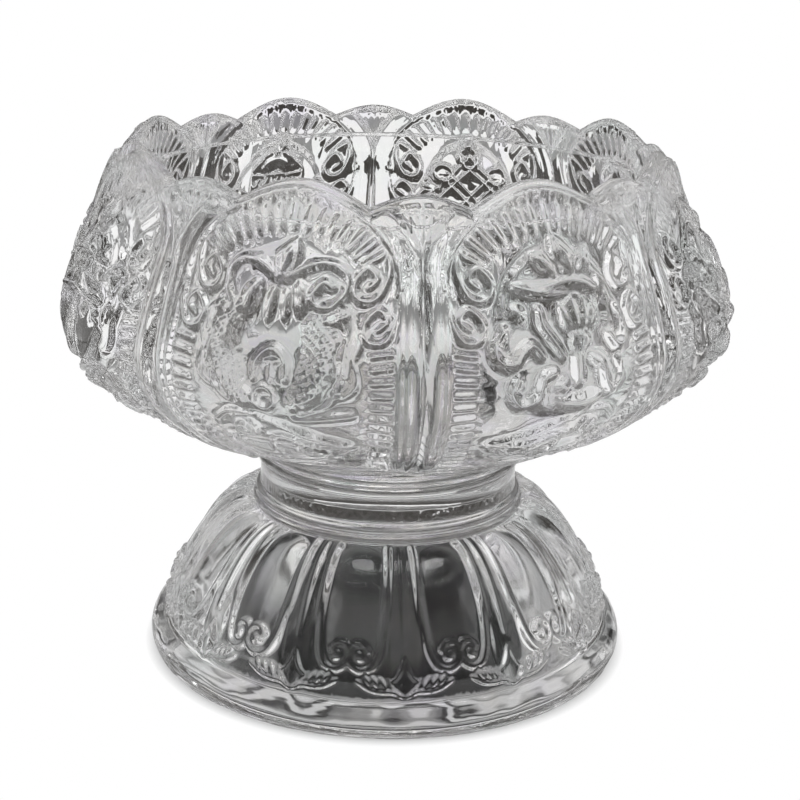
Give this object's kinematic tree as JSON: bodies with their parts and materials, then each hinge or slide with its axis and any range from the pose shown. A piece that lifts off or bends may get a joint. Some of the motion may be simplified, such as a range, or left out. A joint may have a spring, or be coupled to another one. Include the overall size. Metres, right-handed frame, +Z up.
{
  "type": "glass lamp holder",
  "caption": "Clear pressed-glass lamp holder: a lobed bowl with arched relief panels and a scalloped rim, bonded at a ringed neck to a hollow ribbed foot.",
  "frame": {"origin": "on the table plane, under the middle of the foot", "axes": "+Z up through the foot and bowl; a rib of the bowl and a rib of the foot face -Y, the pictured side"},
  "size_m": [0.0976, 0.0976, 0.0794],
  "materials": {
    "glass": "colourless pressed glass, fire-polished",
    "bond": "cured clear resin film"
  },
  "bodies": {
    "root": {"bowl": "glass", "foot": "glass", "bond": "bond"}
  },
  "joints": []
}
